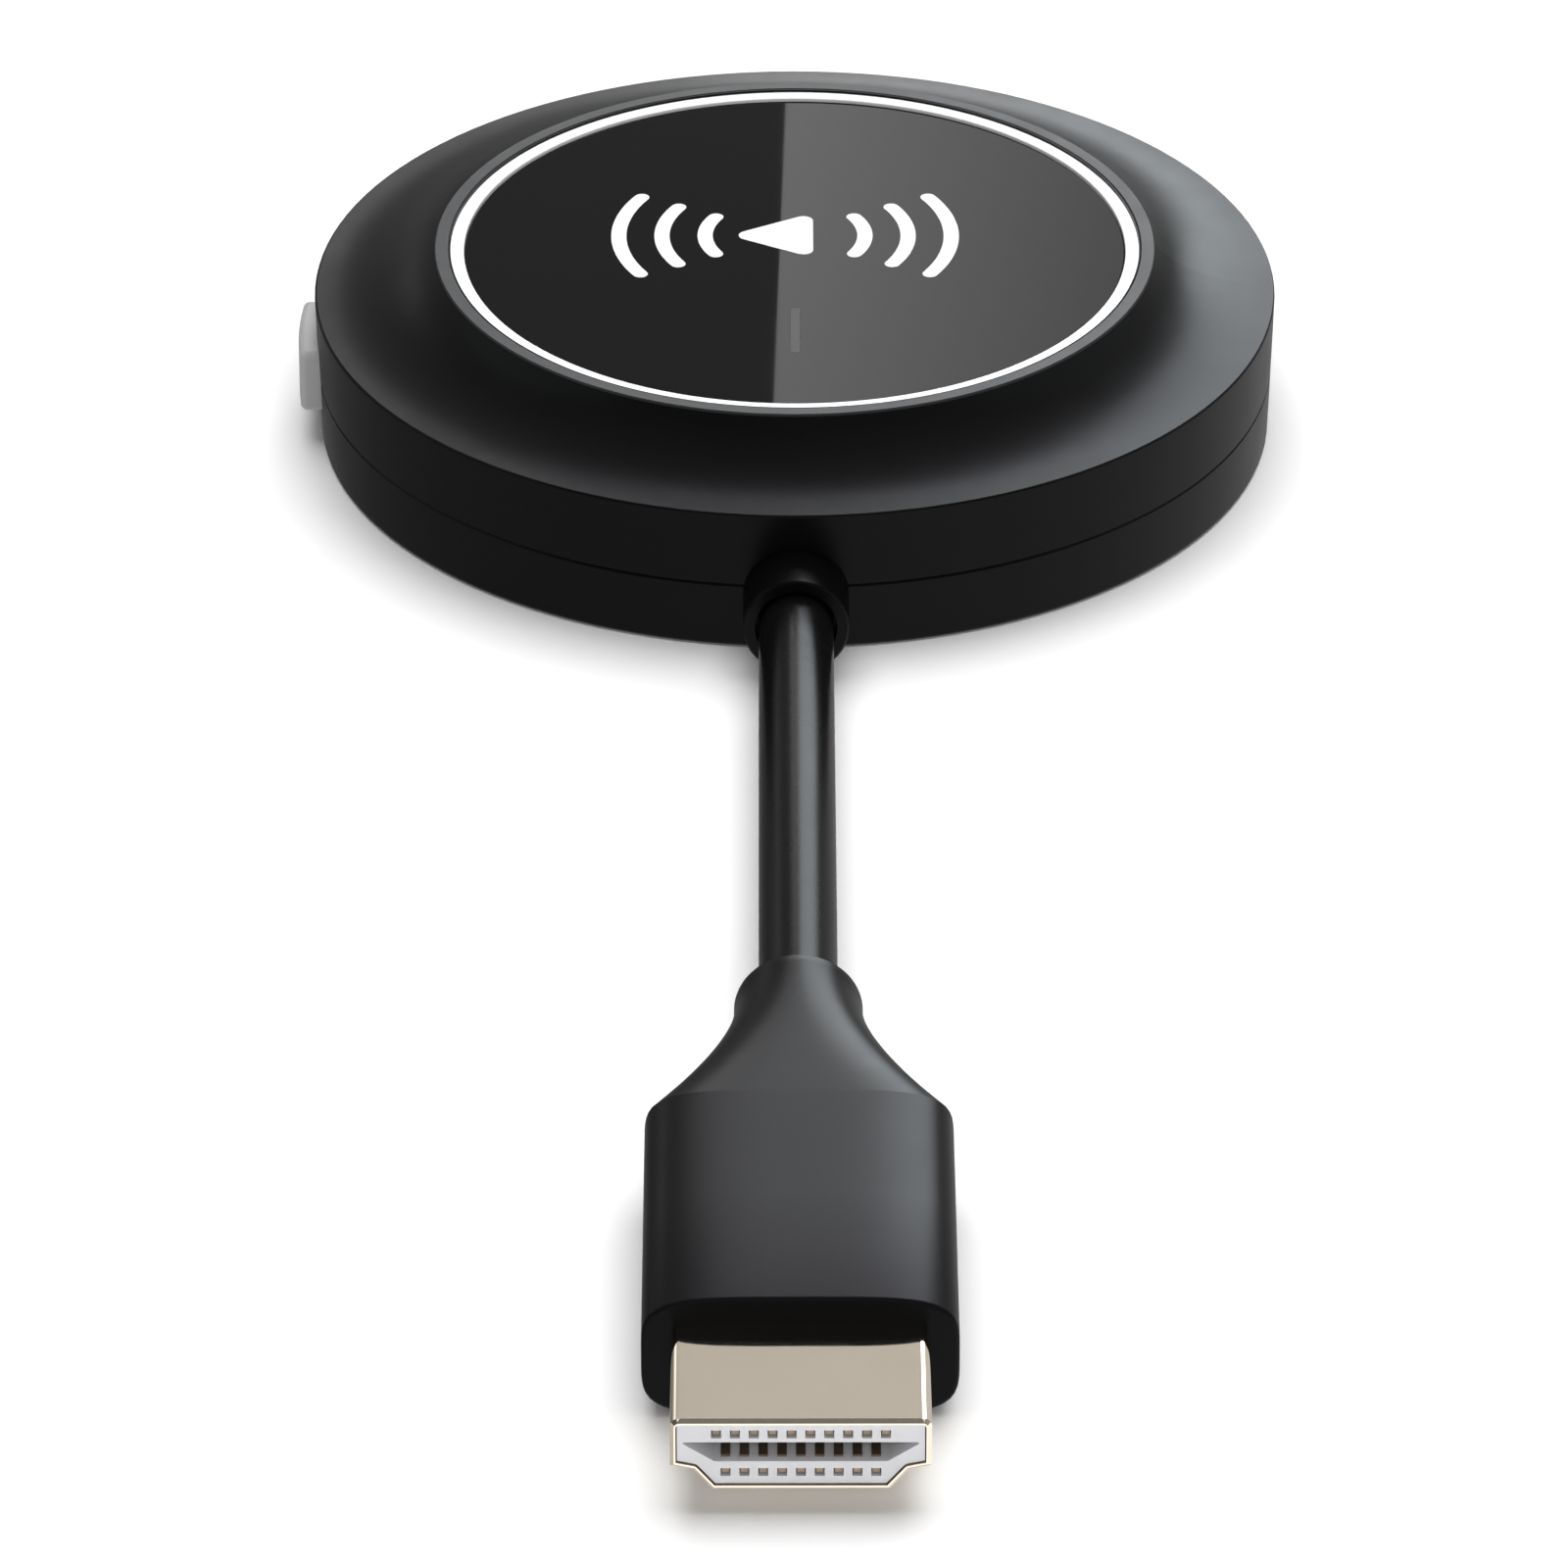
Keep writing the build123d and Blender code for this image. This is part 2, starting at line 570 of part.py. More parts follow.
# ------------------------------------------------------------------ cable
with BuildPart() as strain_relief:
    with BuildSketch(facing_cable(COLLAR_FACE)):
        Circle(COLLAR_RADIUS)
    extrude(amount=-(COLLAR_FACE - RELIEF_NECK_ROOT))
    chamfer(strain_relief.faces().sort_by(Axis.Y)[0].edges(), COLLAR_BEVEL)
    add(puck_outline.part, mode=Mode.SUBTRACT)
    with BuildSketch(facing_cable(RELIEF_NECK_ROOT)):
        Circle(RELIEF_NECK_RADIUS)
    extrude(amount=COLLAR_FACE - RELIEF_NECK_ROOT - COLLAR_MOUTH_DEPTH)
    anchor_height = FLOOR_THICKNESS + ANCHOR_SIZE[1] / 2
    with BuildSketch(facing_cable(CABLE_INNER_END, anchor_height)):
        RectangleRounded(*ANCHOR_SIZE, 0.6)
    extrude(amount=RELIEF_NECK_ROOT - CABLE_INNER_END)
    with BuildSketch(facing_cable(COLLAR_FACE)):
        Circle(CABLE_RADIUS + BORE_GAP)
    extrude(amount=-(COLLAR_FACE - CABLE_INNER_END), mode=Mode.SUBTRACT)
    with BuildSketch(facing_cable(COLLAR_FACE)):
        Circle(COLLAR_MOUTH_RADIUS)
    extrude(amount=-COLLAR_MOUTH_DEPTH, mode=Mode.SUBTRACT)
save(strain_relief, "strain_relief")

with BuildPart() as cable:
    with BuildSketch(facing_cable(CABLE_INNER_END)):
        Circle(CABLE_RADIUS)
    extrude(amount=CABLE_PLUG_END - CABLE_INNER_END)
save(cable, "cable")
print(f"cable: one straight run of {CABLE_PLUG_END - CABLE_INNER_END:.1f} mm, no arcs")

with BuildPart() as conductor_leads:
    with BuildSketch(facing_cable(LEAD_END, BOARD_TOP + LEAD_RADIUS + 0.05)):
        with GridLocations(LEAD_PITCH, 1, LEAD_COUNT, 1):
            Circle(LEAD_RADIUS)
    extrude(amount=CABLE_INNER_END - LEAD_END)
save(conductor_leads, "conductor_leads")

# ------------------------------------------------------------------ plug
# The metal shell's outline: square shoulders above, stepping in to a narrower foot
with BuildSketch() as shell_outline:
    top, bottom = SHELL_HEIGHT / 2, -SHELL_HEIGHT / 2
    half_outline = [(SHELL_WIDTH / 2, top), (SHELL_WIDTH / 2, -0.72), (5.75, -0.98)]
    half_outline.append((4.72, bottom))
    with BuildLine():
        Polyline(
            *half_outline,
            *[(-x, z) for x, z in reversed(half_outline)],
            close=True,
        )
    make_face()
    corners = shell_outline.vertices().group_by(Axis.Y)
    fillet(corners[-1], 0.5)
    fillet(corners[0], 0.35)
    fillet(corners[1], 0.7)
    fillet(corners[2], 0.45)

with BuildSketch() as shell_bore:
    add(shell_outline.sketch)
    offset(amount=-SHELL_WALL, mode=Mode.REPLACE)

with BuildPart() as plug_shell:
    with BuildSketch(facing_cable(SHELL_TIP)):
        add(shell_outline.sketch)
        add(shell_bore.sketch, mode=Mode.SUBTRACT)
    extrude(amount=-(SHELL_TIP - SHELL_ROOT))
    chamfer(plug_shell.faces().sort_by(Axis.Y)[0].outer_wire().edges(), SHELL_LIP)
save(plug_shell, "plug_shell")

upper_slots = GridLocations(CONTACT_PITCH, 1, UPPER_CONTACT_COUNT, 1)
lower_slots = GridLocations(CONTACT_PITCH, 1, LOWER_CONTACT_COUNT, 1)
slot_rows = ((UPPER_SLOT_HEIGHT, upper_slots), (LOWER_SLOT_HEIGHT, lower_slots))
with BuildPart() as plug_insulator:
    with BuildSketch(facing_cable(INSULATOR_FACE)):
        add(shell_bore.sketch)
        offset(amount=-INSULATOR_GAP, mode=Mode.REPLACE)
    extrude(amount=-(INSULATOR_FACE - SHELL_ROOT))
    with BuildSketch(facing_cable(INSULATOR_FACE)):
        Polygon(
            (-MATING_SLOT_HALF_WIDTH, MATING_SLOT_TOP),
            (-MATING_SLOT_HALF_WIDTH, MATING_SLOT_TOP - MATING_SLOT_SIDE),
            (-MATING_FLOOR_HALF_WIDTH, MATING_SLOT_BOTTOM),
            (MATING_FLOOR_HALF_WIDTH, MATING_SLOT_BOTTOM),
            (MATING_SLOT_HALF_WIDTH, MATING_SLOT_TOP - MATING_SLOT_SIDE),
            (MATING_SLOT_HALF_WIDTH, MATING_SLOT_TOP),
            align=None,
        )
    extrude(amount=-MATING_SLOT_DEPTH, mode=Mode.SUBTRACT)
    for slot_height, slots in slot_rows:
        with BuildSketch(facing_cable(INSULATOR_FACE, AXIS_HEIGHT + slot_height)):
            with slots:
                Rectangle(*FACE_SLOT)
        extrude(amount=-FACE_SLOT_DEPTH, mode=Mode.SUBTRACT)
save(plug_insulator, "plug_insulator")



def contacts(name, height, slots, section, recess, length):
    """A row of contacts set back from the insulator's face, saved as one node."""
    with BuildPart() as piece:
        with BuildSketch(facing_cable(INSULATOR_FACE - recess, AXIS_HEIGHT + height)):
            with slots:
                Rectangle(*section)
        extrude(amount=-length)
    save(piece, name)


contact_shape = (CONTACT_SECTION, CONTACT_RECESS, CONTACT_LENGTH)
contacts("upper_contacts", UPPER_SLOT_HEIGHT, upper_slots, *contact_shape)
contacts("lower_contacts", LOWER_SLOT_HEIGHT, lower_slots, *contact_shape)

# The spring blades that lie along the roof and the floor of the mating slot
blade_shape = (BLADE_SECTION, BLADE_RECESS, BLADE_LENGTH)
roof_height = MATING_SLOT_TOP - BLADE_SECTION[1] / 2
floor_height = MATING_SLOT_BOTTOM + BLADE_SECTION[1] / 2
contacts("upper_blades", roof_height, upper_slots, *blade_shape)
contacts("lower_blades", floor_height, lower_slots, *blade_shape)

with BuildPart() as plug_inner_mold:
    with BuildSketch(facing_cable(CABLE_PLUG_END)):
        RectangleRounded(
            INNER_MOLD_SIZE[0] - 2 * PLUG_GAP,
            INNER_MOLD_SIZE[1] - 2 * PLUG_GAP,
            INNER_MOLD_CORNER,
        )
    extrude(amount=SHELL_ROOT - CABLE_PLUG_END)
save(plug_inner_mold, "plug_inner_mold")

with BuildPart() as plug_overmold:
    with BuildSketch(facing_cable(NECK_END)):
        RectangleRounded(2 * NECK_RADIUS, 2 * NECK_RADIUS, NECK_CORNER)
    for section in range(FLARE_SECTIONS + 1):
        along = section / FLARE_SECTIONS
        share = along**FLARE_POWER
        width = 2 * NECK_RADIUS + (OVERMOLD_WIDTH - 2 * NECK_RADIUS) * share
        height = 2 * NECK_RADIUS + (OVERMOLD_HEIGHT - 2 * NECK_RADIUS) * along
        corner = NECK_CORNER + (OVERMOLD_CORNER - NECK_CORNER) * share
        section_at = FLARE_START + (BLOCK_START - FLARE_START) * along
        with BuildSketch(facing_cable(section_at)):
            RectangleRounded(width, height, corner)
    loft()
    with BuildSketch(facing_cable(BLOCK_START)):
        RectangleRounded(OVERMOLD_WIDTH, OVERMOLD_HEIGHT, OVERMOLD_CORNER)
    extrude(amount=OVERMOLD_FACE - BLOCK_START)
    fillet(plug_overmold.faces().sort_by(Axis.Y)[0].edges(), OVERMOLD_EDGE)
    with BuildSketch(facing_cable(OVERMOLD_FACE)):
        add(shell_outline.sketch)
        offset(amount=PLUG_GAP, mode=Mode.REPLACE)
    extrude(amount=-(OVERMOLD_FACE - SHELL_ROOT), mode=Mode.SUBTRACT)
    with BuildSketch(facing_cable(CABLE_PLUG_END)):
        RectangleRounded(*INNER_MOLD_SIZE, INNER_MOLD_CORNER)
    extrude(amount=SHELL_ROOT - CABLE_PLUG_END, mode=Mode.SUBTRACT)
    with BuildSketch(facing_cable(NECK_END)):
        Circle(CABLE_RADIUS + BORE_GAP)
    extrude(amount=CABLE_PLUG_END - NECK_END, mode=Mode.SUBTRACT)
save(plug_overmold, "plug_overmold")
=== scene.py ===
"""Looks for the streaming media player: camera, studio, materials and visible pieces.

Metres, in the frame's axes: +Z up, the cable leaves towards -Y, the button is on -X.
"""

import json
import math

import bmesh
import bpy
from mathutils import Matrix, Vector


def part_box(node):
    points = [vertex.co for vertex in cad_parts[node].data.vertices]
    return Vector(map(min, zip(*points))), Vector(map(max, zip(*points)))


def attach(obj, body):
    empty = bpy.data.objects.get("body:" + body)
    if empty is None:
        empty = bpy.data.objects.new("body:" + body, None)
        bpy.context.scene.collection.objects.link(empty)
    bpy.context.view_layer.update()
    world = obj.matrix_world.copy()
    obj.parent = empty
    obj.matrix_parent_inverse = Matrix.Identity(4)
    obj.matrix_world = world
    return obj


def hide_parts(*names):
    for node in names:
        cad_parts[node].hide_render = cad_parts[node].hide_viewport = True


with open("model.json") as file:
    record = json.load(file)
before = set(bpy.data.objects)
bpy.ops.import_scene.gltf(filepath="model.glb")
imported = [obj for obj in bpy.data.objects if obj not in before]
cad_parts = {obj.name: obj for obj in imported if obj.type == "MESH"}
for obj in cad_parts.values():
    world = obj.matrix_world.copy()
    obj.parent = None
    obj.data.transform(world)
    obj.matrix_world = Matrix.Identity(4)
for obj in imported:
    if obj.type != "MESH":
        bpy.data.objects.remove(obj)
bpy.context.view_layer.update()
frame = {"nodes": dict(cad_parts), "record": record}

MM = 0.001
QUARTER = math.pi / 2

# ---------------------------------------------------------------- camera values
CAMERA_PLACE = (-1.795 * MM, -603.487 * MM, 325.035 * MM)
CAMERA_PITCH = math.radians(59.756)
CAMERA_YAW = math.radians(-0.107)
LENS = 249.8
SENSOR_WIDTH = 36
CLIP_START = 0.05
CLIP_END = 50

# ---------------------------------------------------------------- material values
# Noise scales, in features per metre
MOTTLE_SCALE = 60
TARNISH_SCALE = 90
SMUDGE_SCALE = 120
SATIN_SCALE = 400
ROLLED_SCALE = 2500
GRAIN_SCALE = 9000
NOISE_ROUGHNESS = 0.5
NOISE_RANGE = (0.3, 0.7)  # the part of a noise's values that is stretched over its full range

# Least and most share of a colour or roughness that its noise gives
MOTTLE = (0.88, 1.12)
TARNISH = (0.95, 1)
SMUDGE = (0.96, 1)
SATIN = (0.95, 1.05)
ROLLED = (0.85, 1.15)
POLISH = (0.8, 1.2)

# Bumps: depth in metres, and strength
GRAIN_DEPTH = 4e-6
CABLE_GRAIN_DEPTH = 0.4e-6
GRAIN_STRENGTH = 0.5
ROLLED_DEPTH = 2e-6
ROLLED_STRENGTH = 0.3

PLAIN = (1, 1, 1)
FAINTLY_COOL = (1, 1, 1.03)

# Moulded plastics: grey level, roughness, refractive index, then tone and grain depth where
# they aren't faintly cool and GRAIN_DEPTH
MOULDED_LOOKS = {
    "housing_black": (0.0028, 0.3, 1.15),
    "soft_black": (0.002, 0.3, 1.15),
    "cable_black": (0.003, 0.27, 1.15, FAINTLY_COOL, CABLE_GRAIN_DEPTH),
    "overmold_black": (0.003, 0.32, 1.155, (1.05, 0.98, 1.15)),
    "label_dark": (0.03, 0.5, 1.3),
    "bezel_grey": (0.017, 0.42, 1.215),
    "button_grey": (0.36, 0.4, 1.35, PLAIN),
    "insulator_grey": (0.8, 0.4, 1.3, (0.99, 0.99, 1.02)),
    "board_green": (0.06, 0.35, 1.4, (0.3, 2.0, 0.8)),
    "chip_black": (0.02, 0.5, 1.4),
    "ferrite_grey": (0.09, 0.6, 1.4),
    "capacitor_tan": (0.24, 0.4, 1.4, (1.4, 0.95, 0.5)),
    "connector_white": (0.73, 0.45, 1.4, (1.03, 1, 0.93)),
    "pad_blue": (0.32, 0.6, 1.4, (0.6, 1, 1.4)),
    "switch_black": (0.03, 0.4, 1.4),
    "socket_black": (0.02, 0.4, 1.4),
    "lead_red": (0.2, 0.35, 1.4, (2.2, 0.2, 0.15)),
    "inner_mold_white": (0.75, 0.45, 1.4),
}
# Smooth glossy plastics and print: grey level, roughness, refractive index
GLOSS_LOOKS = {
    "accent_white": (0.93, 0.3, 1.3),
    "mark_white": (0.66, 0.3, 1.3),
    "glass_black": (0.002, 0.015, 1.15),
    "status_lens": (0.05, 0.15, 1.15),
    "led_white": (0.85, 0.2, 1.4),
    "adhesive_clear": (0.6, 0.3, 1.4),
    "light_guide_clear": (0.8, 0.1, 1.4),
}
# Metals: colour, roughness
PLATED_LOOKS = {
    "plug_gold": ((0.86, 0.76, 0.62), 0.05),
    "contact_brown": ((0.34, 0.26, 0.19), 0.5),
    "contact_gold": ((0.83, 0.62, 0.28), 0.25),
    "stamped_steel": ((0.6, 0.6, 0.6), 0.3),
    "screw_steel": ((0.5, 0.5, 0.52), 0.3),
    "spreader_aluminium": ((0.7, 0.7, 0.71), 0.4),
    "antenna_copper": ((0.72, 0.4, 0.22), 0.3),
}

# ---------------------------------------------------------------- cable and plug body values
CABLE_MIDDLE = (0.35, 0.65)  # shares of the cable's length at which its middle points lie
CABLE_ORDER = 3
CABLE_RESOLUTION = 12

NECK_RADIUS = 3.65 * MM
NECK_LENGTH = 0.8 * MM
NECK_EDGE = 0.15 * MM
NECK_EDGE_STEPS = 4
FLARE_LENGTH = 14.0 * MM
FLARE_POWER = 1.71
FLARE_STEPS = 48
FACE_EDGE = 0.25 * MM
FACE_EDGE_STEPS = 5
BLOCK_RINGS = (0.1, 0.5, 1)  # shares of the block's length at which it has a ring
CREASE_TOLERANCE = 1e-6

# A superellipse's power: 2 is a circle, and more is squarer
ROUND = 2
BLOCK_SQUARENESS = 4.5
QUADRANT_POINTS = 28
QUADRANT_SAMPLES = 400

# ---------------------------------------------------------------- mark and gap shade values
MARK_CENTRE = (-0.6 * MM, 1.9 * MM)
MARK_HEIGHT = 0.015 * MM
MARK_STROKE = 0.95 * MM
MARK_RADII = (5.0 * MM, 7.7 * MM, 10.4 * MM)
MARK_SPREAD = math.radians(30)
STROKE_STEPS = 24
END_STEPS = 8
ARROW_REACH = 2.3 * MM
ARROW_CORNER = 0.6 * MM
ARROW_CORNER_SPREAD = math.radians(60)
ARROW_TURNS = (math.radians(180), math.radians(300), math.radians(60))

# The thin dark strip below is painted shade: it darkens the gap round the white ring
GAP_SHADE_WIDTH = 0.05 * MM
GAP_SHADE_OVERHANG = 0.01 * MM
GAP_SHADE_SHY = 0.04 * MM
GAP_SHADE_DEPTH = 0.25 * MM
GAP_SHADE_POINTS = 180

# ---------------------------------------------------------------- studio values
FLOOR_RADIUS = 4
FLOOR_POINTS = 96
FLOOR_ALBEDO = 0.93
FLOOR_ROUGHNESS = 0.9
FLOOR_IOR = 1.1

# The room's light in a direction is constant + across * x + along * y
ROOM_ABOVE = (0.33, 0.15, 0.26)
ROOM_BELOW = (0.92, 0.4, -0.62)
ROOM_LEAST = 0.05
HORIZON = 0.05  # half the height over which the light above and below blend

# Soft lights: name, place, side in metres, watts
LIGHTS = (
    ("overhead", (0.05, 0.2, 0.95), 1.0, 12),
    ("front_fill", (0, -1.2, 0.5), 0.8, 4.5),
)

COOL = (0.93, 1.0, 1.04)
VIOLET = (0.98, 0.96, 1.09)
CARD_DISTANCE = 600
# Softboxes behind the part, with places in millimetres: name, its left edge's x at the foot and
# at the top, its right edge's, its lowest and highest z, its glow at left and right, its tone
CARDS = (
    ("card_near_edge", (0.9, -1.4), (45, 45), 296, 360, (4.4, 2.3), PLAIN),
    ("card_left", (-100, -100), (-48, -48), 240, 362, (8, 8), PLAIN),
    ("card_side", (-450, -450), (-310, -310), 150, 340, (1.3, 1.3), PLAIN),
    ("card_low", (-20, -20), (50, 50), 130, 296, (10, 10), PLAIN),
    ("card_right", (45, 50), (330, 330), 130, 545, (9, 9), COOL),
    ("card_high", (-60, -60), (330, 330), 532, 650, (9.3, 9.3), VIOLET),
    ("card_top", (-120, -120), (330, 330), 650, 1150, (0.6, 0.6), VIOLET),
)
# One softbox for each of the other sides, and its turns round the part in degrees
SIDE_CARD = ((-350, -350), (350, 350), 150, 700, (1.0, 1.0), COOL)
SIDE_TURNS = {"card_front": 180, "card_minus_x": 90, "card_plus_x": 270}

nodes = frame["nodes"]


# ---------------------------------------------------------------- camera
def make_camera():
    """A long lens, level, looking down at the puck from in front of the plug."""
    data = bpy.data.cameras.new("camera")
    data.sensor_width = SENSOR_WIDTH
    data.lens = LENS
    data.clip_start = CLIP_START
    data.clip_end = CLIP_END
    camera = bpy.data.objects.new("camera", data)
    camera.location = CAMERA_PLACE
    camera.rotation_euler = (CAMERA_PITCH, 0, CAMERA_YAW)
    bpy.context.scene.collection.objects.link(camera)
    bpy.context.scene.camera = camera


# ---------------------------------------------------------------- mesh helpers
def add_object(name, form, material):
    """Make an object with one material from a finished bmesh, which is freed."""
    mesh = bpy.data.meshes.new(name)
    form.to_mesh(mesh)
    form.free()
    mesh.materials.append(material)
    made = bpy.data.objects.new(name, mesh)
    bpy.context.scene.collection.objects.link(made)
    return made


def join_rings(form, rings, smooth):
    """Close the band between each ring of points and the next."""
    for one, other in zip(rings, rings[1:]):
        for index in range(len(one)):
            after = (index + 1) % len(one)
            side = form.faces.new((one[index], one[after], other[after], other[index]))
            side.smooth = smooth


# ---------------------------------------------------------------- node helpers
def new_material(name):
    """A material with an empty Principled shader; returns it with its tree and shader."""
    mat = bpy.data.materials.new(name)
    mat.use_nodes = True
    tree = mat.node_tree
    return mat, tree, tree.nodes["Principled BSDF"]


def noise(tree, scale, detail=3):
    """A noise texture in object coordinates; scale is in features per metre."""
    coords = tree.nodes.get("coords") or tree.nodes.new("ShaderNodeTexCoord")
    coords.name = "coords"
    texture = tree.nodes.new("ShaderNodeTexNoise")
    texture.inputs["Scale"].default_value = scale
    texture.inputs["Detail"].default_value = detail
    texture.inputs["Roughness"].default_value = NOISE_ROUGHNESS
    tree.links.new(coords.outputs["Object"], texture.inputs["Vector"])
    return texture.outputs["Fac"]


def spread(tree, value, level, shares):
    """Vary a level between two shares of it with a noise's value."""
    node = tree.nodes.new("ShaderNodeMapRange")
    node.inputs["From Min"].default_value = NOISE_RANGE[0]
    node.inputs["From Max"].default_value = NOISE_RANGE[1]
    node.inputs["To Min"].default_value = level * shares[0]
    node.inputs["To Max"].default_value = level * shares[1]
    tree.links.new(value, node.inputs["Value"])
    return node.outputs["Result"]


def tint(tree, value, colour, shares):
    """Vary a colour between two shares of it with a noise's value."""
    ramp = tree.nodes.new("ShaderNodeValToRGB")
    for element, place, share in zip(ramp.color_ramp.elements, NOISE_RANGE, shares):
        element.position = place
        element.color = (*shade(share, colour), 1)
    tree.links.new(value, ramp.inputs["Fac"])
    return ramp.outputs["Color"]


def bump(tree, shader, height, strength, depth):
    """Give a shader a bump from a height value."""
    node = tree.nodes.new("ShaderNodeBump")
    node.inputs["Strength"].default_value = strength
    node.inputs["Distance"].default_value = depth
    tree.links.new(height, node.inputs["Height"])
    tree.links.new(node.outputs["Normal"], shader.inputs["Normal"])


def shade(level, colour):
    """A colour times a level."""
    return tuple(level * part for part in colour)


def arithmetic(tree, operation, first, second):
    """A Math node on an output and either another output or a plain number."""
    node = tree.nodes.new("ShaderNodeMath")
    node.operation = operation
    tree.links.new(first, node.inputs[0])
    if isinstance(second, bpy.types.NodeSocket):
        tree.links.new(second, node.inputs[1])
    else:
        node.inputs[1].default_value = second
    return node.outputs[0]


# ---------------------------------------------------------------- materials
def moulded(name, level, roughness, ior, tone=FAINTLY_COOL, grain_depth=GRAIN_DEPTH):
    """Moulded plastic: faint mottling, fine spark-eroded grain, uneven satin."""
    mat, tree, shader = new_material(name)
    colour = tint(tree, noise(tree, MOTTLE_SCALE), shade(level, tone), MOTTLE)
    tree.links.new(colour, shader.inputs["Base Color"])
    satin = spread(tree, noise(tree, SATIN_SCALE), roughness, SATIN)
    tree.links.new(satin, shader.inputs["Roughness"])
    shader.inputs["IOR"].default_value = ior
    bump(tree, shader, noise(tree, GRAIN_SCALE, detail=2), GRAIN_STRENGTH, grain_depth)
    return mat


def plated(name, colour, roughness):
    """Plated or bare metal with a very faint rolled grain."""
    mat, tree, shader = new_material(name)
    tarnished = tint(tree, noise(tree, TARNISH_SCALE), colour, TARNISH)
    tree.links.new(tarnished, shader.inputs["Base Color"])
    shader.inputs["Metallic"].default_value = 1
    rolled = noise(tree, ROLLED_SCALE)
    tree.links.new(spread(tree, rolled, roughness, ROLLED), shader.inputs["Roughness"])
    bump(tree, shader, rolled, ROLLED_STRENGTH, ROLLED_DEPTH)
    return mat


def gloss(name, level, roughness, ior):
    """Smooth glossy plastic or printed glass with faint smudges in its polish."""
    mat, tree, shader = new_material(name)
    smudge = noise(tree, SMUDGE_SCALE, detail=4)
    tree.links.new(tint(tree, smudge, shade(level, PLAIN), SMUDGE), shader.inputs["Base Color"])
    tree.links.new(spread(tree, smudge, roughness, POLISH), shader.inputs["Roughness"])
    shader.inputs["IOR"].default_value = ior
    return mat


def make_materials():
    """A material for each slot of the record, and mark_white for the mark."""
    made = {}
    for make, looks in ((moulded, MOULDED_LOOKS), (gloss, GLOSS_LOOKS), (plated, PLATED_LOOKS)):
        for name, look in looks.items():
            made[name] = make(name, *look)
    return made


def dress_nodes(materials):
    """Give every CAD node the material of its slot."""
    for entry in frame["record"]["subparts"]:
        mesh = nodes[entry["node"]].data
        mesh.materials.clear()
        mesh.materials.append(materials[entry["material_slot"]])


# ---------------------------------------------------------------- cable
def make_cable(material):
    """The captive cable: one smooth straight curve from the board end to the plug."""
    low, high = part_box("cable")
    radius = (high.x - low.x) / 2
    height = (high.z + low.z) / 2
    start, end = high.y, low.y
    middle = [start + (end - start) * share for share in CABLE_MIDDLE]
    route = [start, *middle, end]
    curve = bpy.data.curves.new("cable_jacket", "CURVE")
    curve.dimensions = "3D"
    curve.bevel_depth = radius
    curve.bevel_resolution = CABLE_RESOLUTION
    curve.use_fill_caps = True
    spline = curve.splines.new("NURBS")
    spline.points.add(len(route) - 1)  # a new spline has one point
    for point, y in zip(spline.points, route):
        point.co = (0, y, height, 1)
    spline.order_u = CABLE_ORDER
    spline.use_endpoint_u = True
    spline.resolution_u = CABLE_RESOLUTION
    jacket = bpy.data.objects.new("cable_jacket", curve)
    bpy.context.scene.collection.objects.link(jacket)
    jacket.data.materials.append(material)
    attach(jacket, "root")
    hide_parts("cable")


# ---------------------------------------------------------------- plug body
def squircle(half_width, half_height, power):
    """A superellipse as (x, z) points, evenly spaced along each quarter."""
    dense = []
    for step in range(QUADRANT_SAMPLES + 1):
        angle = QUARTER * step / QUADRANT_SAMPLES
        x = half_width * math.cos(angle) ** (2 / power)
        z = half_height * math.sin(angle) ** (2 / power)
        dense.append((x, z))
    lengths = [0.0]
    for (x0, z0), (x1, z1) in zip(dense, dense[1:]):
        lengths.append(lengths[-1] + math.hypot(x1 - x0, z1 - z0))
    quarter = []
    index = 0
    for point in range(QUADRANT_POINTS):
        wanted = lengths[-1] * point / QUADRANT_POINTS
        while lengths[index + 1] < wanted:
            index += 1
        share = (wanted - lengths[index]) / (lengths[index + 1] - lengths[index])
        (x0, z0), (x1, z1) = dense[index], dense[index + 1]
        quarter.append((x0 + (x1 - x0) * share, z0 + (z1 - z0) * share))
    mirrored = [(-x, z) for x, z in quarter[:0:-1]]
    upper = quarter + [(0.0, half_height)] + mirrored + [(-half_width, 0.0)]
    return upper + [(-x, -z) for x, z in upper[1:-1]]


def plug_sections(low, high):
    """The body's rings from the neck to the face: place, half sizes, inset, squareness."""
    half_width = (high.x - low.x) / 2
    half_height = (high.z - low.z) / 2
    flare_start = high.y - NECK_LENGTH
    flare_end = flare_start - FLARE_LENGTH
    block_length = flare_end - (low.y + FACE_EDGE)
    sections = []
    for step in range(NECK_EDGE_STEPS + 1):
        turn = QUARTER * step / NECK_EDGE_STEPS
        y = high.y - NECK_EDGE * (1 - math.cos(turn))
        inset = NECK_EDGE * (1 - math.sin(turn))
        sections.append((y, NECK_RADIUS, NECK_RADIUS, inset, ROUND))
    for step in range(FLARE_STEPS + 1):
        along = step / FLARE_STEPS
        share = along**FLARE_POWER
        width = NECK_RADIUS + (half_width - NECK_RADIUS) * share
        height = NECK_RADIUS + (half_height - NECK_RADIUS) * along
        power = ROUND + (BLOCK_SQUARENESS - ROUND) * share
        sections.append((flare_start - FLARE_LENGTH * along, width, height, 0, power))
    for share in BLOCK_RINGS:
        y = flare_end - block_length * share
        sections.append((y, half_width, half_height, 0, BLOCK_SQUARENESS))
    for step in range(1, FACE_EDGE_STEPS + 1):
        turn = QUARTER * step / FACE_EDGE_STEPS
        y = low.y + FACE_EDGE * (1 - math.sin(turn))
        inset = FACE_EDGE * (1 - math.cos(turn))
        sections.append((y, half_width, half_height, inset, BLOCK_SQUARENESS))
    return sections


